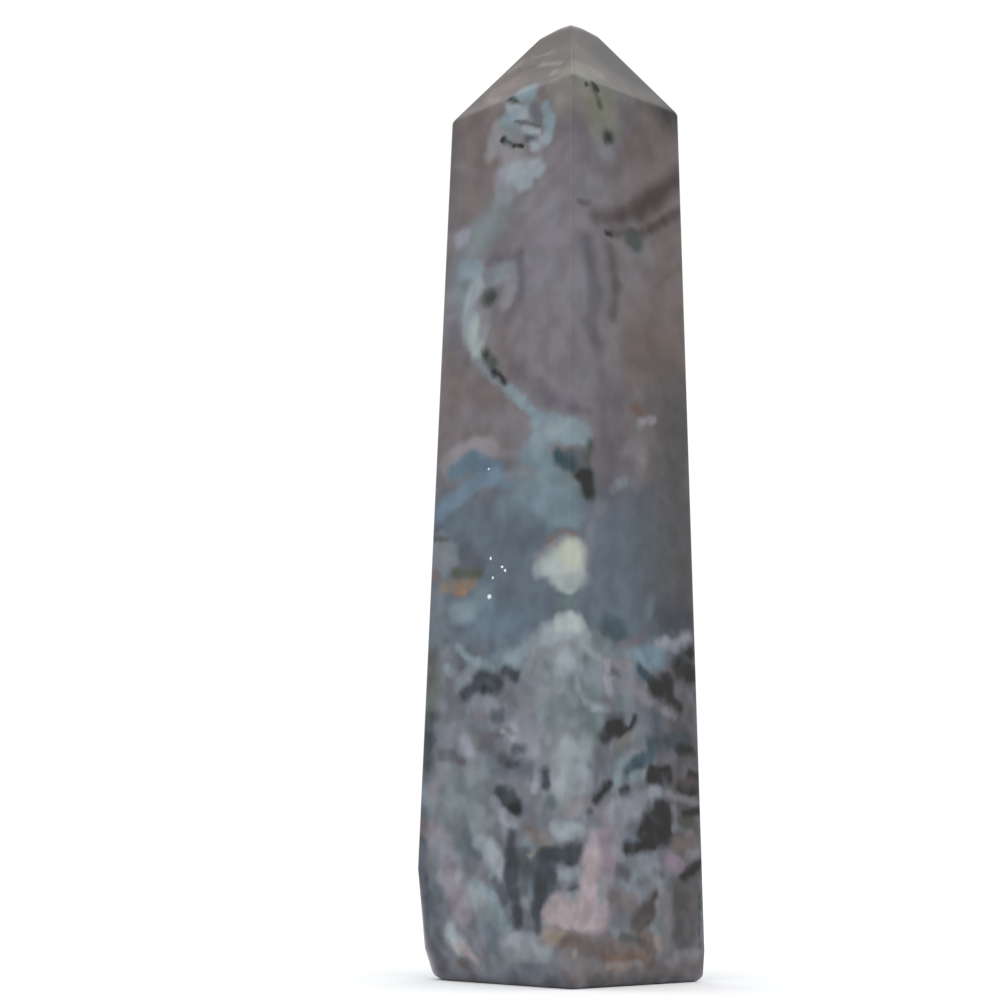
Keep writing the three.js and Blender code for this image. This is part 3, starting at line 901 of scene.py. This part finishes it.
def paint_right_moss(right):
    """The pale swirl, the black bands and the lilac band of the right face's mossy zone."""
    right(SAGE, 1, (-6, 33.2), (-4.6, 33), strength=0.8)
    right(CHALK, 1, (-9.8, 31.4), (-8, 30.9))
    right(SAGE, 0.7, (-7.4, 31.4), (-6.4, 31.2), strength=0.8)
    right(MIST, 1.2, (-7, 29.6), (-5.4, 29.2), strength=0.8)
    right(SAGE, 0.7, (-7.2, 28.3), (-5.2, 28.1), strength=0.8)
    right(CHALK, 0.35, (-9, 30.6), (-8.6, 28.8), (-7.8, 27.4), (-6.4, 26.9), (-4.2, 26.9), strength=0.8)
    right(LILAC, 0.55, (-4.2, 31.2), (-4.2, 29.8), (-3.8, 28.6))
    right(SHELL, 0.5, (-3, 31.4), (-1, 31.2))
    right(DUSK, 0.4, (-3.4, 30.4), (-2.7, 30.2))
    right(MAUVE, 1, (-0.8, 29.2), (0.6, 28.6), strength=0.8)
    right(MAUVE, 0.4, (1.4, 28), (4.6, 27.2), (6.2, 26.6))
    right(DEEP_TEAL, 0.6, (0.8, 31), (2.4, 29.9))
    right(INK, 1, (2.9, 29.4), (5.2, 29.2))
    right(INK, 0.6, (4.6, 30.4), (5.4, 30))
    right(INK, 0.4, (5.2, 28.6), (7, 27.4))
    right(GREY, 0.6, (6.6, 29.3), (8.6, 28.2), strength=0.8)
    right(BLACK_GREEN, 0.8, (-4.9, 24), (-4.2, 24.6))
    right(BLACK_GREEN, 1.1, (-3.8, 25.1), (-2.8, 25))
    right(INK, 0.45, (-2.4, 24.8), (-1.2, 24.6))
    right(INK, 0.4, (-1, 24.8), (-0.1, 26))
    right(STONE_CREAM, 0.5, (-2.8, 23.4), (-0.6, 24.2), strength=0.8)
    right(DARK_SLATE, 0.9, (5.2, 24), (7.6, 24.2))
    right(DIM_SLATE, 0.6, (2.8, 25.9), (4, 26), strength=0.9)
    right(DEEP_TEAL, 0.6, (2.2, 23.8), (3.2, 23.8), strength=0.7)
    right(MILK, 0.9, (-9.2, 22.7), (-8, 23), soft=1.6, strength=0.3)
    right(ICE, 0.7, (-7.9, 21.4), (-7.8, 20.2), strength=0.6)
    right(CHALK, 0.8, (-8.5, 20.6), (-8.8, 18.8))
    right(GREY, 1, (-5.8, 22.2), (-3.6, 22.4), strength=0.7)
    right(ICE, 0.7, (-3, 20), (-2.4, 21.6), strength=0.6)
    right(DEEP_TEAL, 0.8, (-1.2, 20.8), (0, 21.6), (2.2, 22.6), strength=0.9)
    right(ICE, 0.5, (-0.6, 20.2), (0.8, 20.5))
    right(INK, 0.6, (2.4, 21.1), (4.6, 21.3), (5.1, 20.3))
    right(INK, 0.8, (2.1, 20.3), (3.6, 20.2))
    right(DUSK, 0.5, (3.4, 22.2), (5.8, 22.2))
    right(INK, 0.6, (6.8, 23.2), (8.8, 23))
    right(DUSK, 0.5, (6.2, 20.5), (7.6, 20.9))
    right(INK, 0.5, (8.2, 20.6), (9.8, 20.4))
    right(DARK_BROWN, 0.8, (6.8, 19.6), (9.6, 19.5))
    right(INK, 0.5, (6.7, 19.2), (9, 19))
    right(INK, 0.4, (-2.3, 18.7), (-1.4, 18.8))
    right(INK, 0.5, (-4.3, 19.5), (-6.3, 18))
    right(DIM_SLATE, 0.35, (-7.9, 17), (-7, 16.7))
    right(SHELL, 0.8, (-9.6, 17), (-8, 17.6))
    right(LILAC, 1.2, (-3.4, 16.8), (0.2, 17.6))
    right(LILAC, 0.6, (0.4, 18.2), (3.2, 19), strength=0.7)
    right(MAUVE, 0.4, (4.6, 18.7), (9.6, 17.9), strength=0.8)
    right(CHALK, 0.7, (-10.3, 15.1), (-8.4, 14.8))
    right(MIST, 0.7, (-6.8, 15.8), (-6, 15.8))
    right(INK, 0.9, (3.4, 17.2), (4.8, 17))
    right(INK, 1.4, (2.2, 15.8), (4.4, 15.6))
    right(INK, 1.2, (1, 14.6), (4.2, 14.6))
    right(INK, 0.7, (-1.6, 13.2), (2.4, 13.5))
    right(LILAC_GREY, 0.45, (5.7, 17.2), (6, 15.6), (8.2, 14.8), strength=0.8)
    right(INK, 0.45, (7.4, 16.7), (9.8, 17.2))
    right(OLIVE, 0.6, (7.4, 15.8), (8.6, 15.9), strength=0.6)


def paint_right_foot(right):
    """The pink column, the brown slant, the rusty foot and painted shade along the far edge of the
    right face.
    """
    right(PLUM, 0.9, (-5, 13.6), (-3.9, 11.2), soft=1.5, strength=0.9)
    right(WARM_TAUPE, 0.8, (6, 13.8), (8.8, 14), strength=0.7)
    right(PLUM, 0.9, (4.8, 12.2), (6.8, 11.4))
    right(MAUVE, 0.6, (8.2, 12.5), (9.4, 12.6))
    right(INK, 0.5, (7, 10.2), (8.4, 11), (10, 11.9))
    right(DARK_SLATE, 0.8, (-10.3, 12.3), (-8.7, 12.9))
    right(CHALK, 0.45, (-10.3, 10.8), (-8.9, 11))
    right(DIM_SLATE, 0.3, (-10.3, 9.4), (-9.2, 9.4))
    right(CHALK, 0.4, (-10.2, 8.6), (-9.3, 8.6))
    right(BLUSH, 1.3, (-6.9, 12), (-6.9, 9.8), soft=1.6)
    right(BLUSH, 1.3, (-7.8, 8.2), (-5.8, 7), soft=1.6)
    right(LILAC, 0.5, (-5.7, 10), (-5.6, 6.4), strength=0.7)
    right(BLUSH, 1.2, (-10.2, 7.1), (-8.6, 6.7))
    right(BLUSH, 0.8, (-8.6, 6.2), (-6, 6))
    right(ASH, 0.6, (-2.8, 11.2), (-1.6, 10.8))
    right(MIST, 0.7, (-0.6, 10.6), (1, 11.4), strength=0.8)
    right(ASH, 0.4, (2.8, 10.9), (3.8, 10.7))
    right(TAUPE, 1, (-3.6, 8.4), (-1, 8), strength=0.9)
    right(DARK_BROWN, 0.6, (2.5, 8.6), (1.6, 7.2))
    right(DARK_BROWN, 1.2, (1.5, 6.9), (-0.1, 5.7))
    right(SHELL, 0.8, (4.2, 8.6), (4.1, 3.8), strength=0.8)
    right(UMBER, 0.8, (6.3, 9.4), (6.4, 4.2))
    right(TAUPE, 0.6, (8.5, 9), (8.6, 6.8), strength=0.7)
    # Painted shade: a thin dark line along the far edge of the right face
    right(INK, 0.2, (9.6, 8.4), (9.6, 3.4), strength=0.6)
    right(WARM_TAUPE, 1.3, (-9.8, 3.6), (1.4, 3.8), soft=2, strength=0.9)
    right(TAUPE, 1, (-9.8, 1.3), (9.4, 1.4), soft=1.6, strength=0.9)
    right(BROWN, 0.7, (-10.3, 4.6), (-8.2, 4.5))
    right(STONE_CREAM, 0.35, (-9.6, 3.2))
    right(MOSS_GREEN, 0.5, (-2.4, 4.7), (-0.2, 4.5), strength=0.8)
    right(BROWN, 1, (1.3, 4.4), (1.7, 2.4))
    right(DARK_BROWN, 0.6, (0.4, 4.2), (1.4, 3.4), strength=0.6)
    right(RUST, 0.5, (-5.6, 2.8), (-4, 2.6), (0.6, 2.8))
    right(TAN, 0.5, (2.8, 4.4), (3.6, 3.6))
    right(TAN, 0.35, (-4.6, 1.9), (-0.4, 1.9))
    right(UMBER, 2, (-6, -1.4), (6, -1.4))
    right(MAUVE, 0.7, (4.2, 2.5), (9, 2.6))


def gather_marks():
    """All marks, in the order in which they are laid."""
    brush = Brush()
    left = brush.left
    right = brush.right
    paint_host(left, right)
    paint_pyramid(left, right)
    paint_arcs(right)
    paint_tongue(right)
    paint_first_plume(left)
    paint_second_plume(left)
    paint_third_plume(left, right)
    paint_dark_blob(left, right)
    paint_left_stain(left)
    paint_moss_tones(left, right)
    paint_cream_blob(left, right)
    paint_right_middle(right)
    paint_left_moss(left)
    paint_left_foot(left)
    paint_right_moss(right)
    paint_right_foot(right)
    return brush.marks


def mark_reaches(mark, low, high):
    """Whether a mark can show between two heights."""
    reach = mark.radius + mark.soft / 2 + mark.rough + STRAY_REACH
    bottom = min(mark.start[2], mark.end[2]) - reach
    top = max(mark.start[2], mark.end[2]) + reach
    return bottom < high and top > low


def lay_mark(tree, group, mark, colour, point, grain, wisp):
    """One mark over the colour so far."""
    span = [b - a for a, b in zip(mark.start, mark.end)]
    length_squared = sum(value * value for value in span)
    values = {
        "Colour": colour,
        "Paint": linear(mark.paint),
        "Point": point,
        "Grain": grain,
        "Wisp": wisp,
        "Start": mark.start,
        "Span": span,
        "Pull": 1 / length_squared if length_squared else 0.0,
        "Rough": mark.rough,
        "Outside": mark.radius + mark.soft / 2,
        "Inside": max(mark.radius - mark.soft / 2, 0.0),
        "Strength": mark.strength,
    }
    return add_node(tree, "ShaderNodeGroup", values, node_tree=group).outputs["Colour"]


def lay_marks(tree, group, marks, colour, point, grain, wisp, zone):
    """The marks of one zone, laid in batches.

    The colours under a batch push it aside by a hair. So each batch is worked out after the one
    before, and the renderer never holds more than one batch of masks. Batches are counted over
    all marks, which keeps neighbouring zones alike where they meet.
    """
    for index, mark in enumerate(marks):
        if index % BATCH_SIZE == 0:
            push = (BATCH_PUSH, BATCH_PUSH, -BATCH_PUSH)
            point = add_vector_math(tree, "MULTIPLY_ADD", colour, push, point)
        if mark_reaches(mark, *zone):
            colour = lay_mark(tree, group, mark, colour, point, grain, wisp)
    return colour


def make_folded_point(tree, point):
    """Mirror the hidden half of the stone in the plane through its two side edges, so that
    markings run on round those edges, and slide it down with distance from them."""
    outward = (-math.sqrt(0.5), math.sqrt(0.5), 0.0)
    depth = add_math(tree, "MAXIMUM", add_vector_math(tree, "DOT_PRODUCT", point, outward), 0.0)
    slide = (2 * math.sqrt(0.5), -2 * math.sqrt(0.5), -BACK_SLIDE)
    return add_vector_math(tree, "MULTIPLY_ADD", slide, depth, point)


def add_shove(tree, point, pattern_point, scale, reach):
    """Push a place about with noise."""
    noise = add_noise(tree, pattern_point, scale, detail=2.0)[1]
    centred = add_vector_math(tree, "SUBTRACT", noise, (0.5, 0.5, 0.5))
    return add_vector_math(tree, "ADD", point, add_scaled(tree, centred, reach))


def make_moss(tree, warped):
    """Curled grey, lilac and greenish clouds, the ground of the mossy zone."""
    curled = add_shove(tree, warped, warped, *MOSS_CURL)
    clouds = add_noise(tree, curled, MOSS_CLOUDS, detail=1.5)[0]
    tint = add_noise(tree, curled, MOSS_TINTS, detail=1.0)[0]
    lilac = add_ramp(tree, clouds, [(0.27, ASH), (0.56, LILAC_GREY)])
    green = add_ramp(tree, clouds, [(0.27, SLATE), (0.56, MIST)])
    return add_mix(tree, add_smooth(tree, tint, *TINT_STEP), lilac, green)


def make_base_colour(tree, point, warped, grain):
    """Grey-mauve stone above, a painted brown reflection on the pyramid, blue-grey in the middle and
    mossy mottle below.
    """
    height = add_math(tree, "MULTIPLY_ADD", grain, BLEND_REACH, add_height(tree, warped))
    broad = add_noise(tree, point, BROAD_TONES, detail=2.0)[0]
    plain = add_ramp(tree, broad, [(0.3, WARM_TAUPE), (0.5, TAUPE), (0.68, MAUVE)])
    slate = add_ramp(tree, broad, [(0.22, DIM_SLATE), (0.48, SLATE)])
    # Painted reflection of a brown surround on the pyramid, darker towards the tip
    cap = add_ramp(tree, broad, [(0.35, CAP_BROWN), (0.6, CAP_TAUPE)])
    plain = add_mix(tree, add_smooth(tree, add_height(tree, point), *CAP_BLEND), plain, cap)
    plain = add_mix(tree, add_smooth(tree, height, *TIP_BLEND, most=0.8), plain, linear(CAP_DARK))
    colour = add_mix(tree, add_smooth(tree, height, *SLATE_BLEND), plain, slate)
    return add_mix(tree, add_smooth(tree, height, *MOSS_BLEND), colour, make_moss(tree, warped))


def add_depth(tree, colour, warped):
    """Faint clouds of other tones within the marks, stronger in the mossy zone."""
    extra = add_smooth(tree, add_height(tree, warped), *DEPTH_BLEND, most=DEPTH_MOSS - DEPTH_PLAIN)
    amount = add_math(tree, "ADD", extra, DEPTH_PLAIN)
    clouds = add_smooth(tree, add_noise(tree, warped, DEPTH_CLOUDS, detail=1.5)[0], *CLOUD_STEP)
    return add_mix(tree, amount, colour, clouds, blend="SOFT_LIGHT")


def make_agate(zone, group, marks):
    """Polished plume agate between two heights: a soft base with listed marks."""
    material = bpy.data.materials.new("agate")
    material.use_nodes = True
    tree = material.node_tree
    shader = tree.nodes["Principled BSDF"]
    place = add_node(tree, "ShaderNodeTexCoord", {}).outputs["Object"]
    point = add_scaled(tree, place, 1 / MM)
    warped = make_folded_point(tree, point)
    for scale, reach in SHOVES:
        warped = add_shove(tree, warped, point, scale, reach)
    noise = add_noise(tree, point, EDGE_GRAIN, detail=1.0)[0]
    grain = add_math(tree, "MULTIPLY_ADD", noise, 2.0, -1.0)
    colour = make_base_colour(tree, point, warped, grain)
    wisp = add_smooth(tree, add_noise(tree, warped, WISPS, detail=1.0)[0], *WISP_STEP)
    colour = lay_marks(tree, group, marks, colour, warped, grain, wisp, zone)
    tree.links.new(add_depth(tree, colour, warped), shader.inputs["Base Color"])
    shader.inputs["Roughness"].default_value = POLISH_ROUGHNESS
    shader.inputs["IOR"].default_value = AGATE_IOR
    shader.inputs["Specular IOR Level"].default_value = AGATE_SPECULAR
    return material


def folded_heights(mesh):
    """The height in the pattern of each face's middle, in millimetres."""
    centres = np.array([polygon.center for polygon in mesh.polygons]) / MM
    depth = np.maximum(0, (centres[:, 1] - centres[:, 0]) * math.sqrt(0.5))
    return centres[:, 2] - BACK_SLIDE * depth


def paint_tower(tower):
    """One material per zone of height, each with the marks that reach it."""
    group = make_mark_group()
    marks = gather_marks()
    edges = [-math.inf, *ZONE_EDGES, math.inf]
    for zone in zip(edges, edges[1:]):
        tower.data.materials.append(make_agate(zone, group, marks))
    indices = np.digitize(folded_heights(tower.data), ZONE_EDGES)
    tower.data.polygons.foreach_set("material_index", indices.astype(np.int32))


make_camera()
tower = make_tower()
paint_tower(tower)
make_floor()
make_lights()
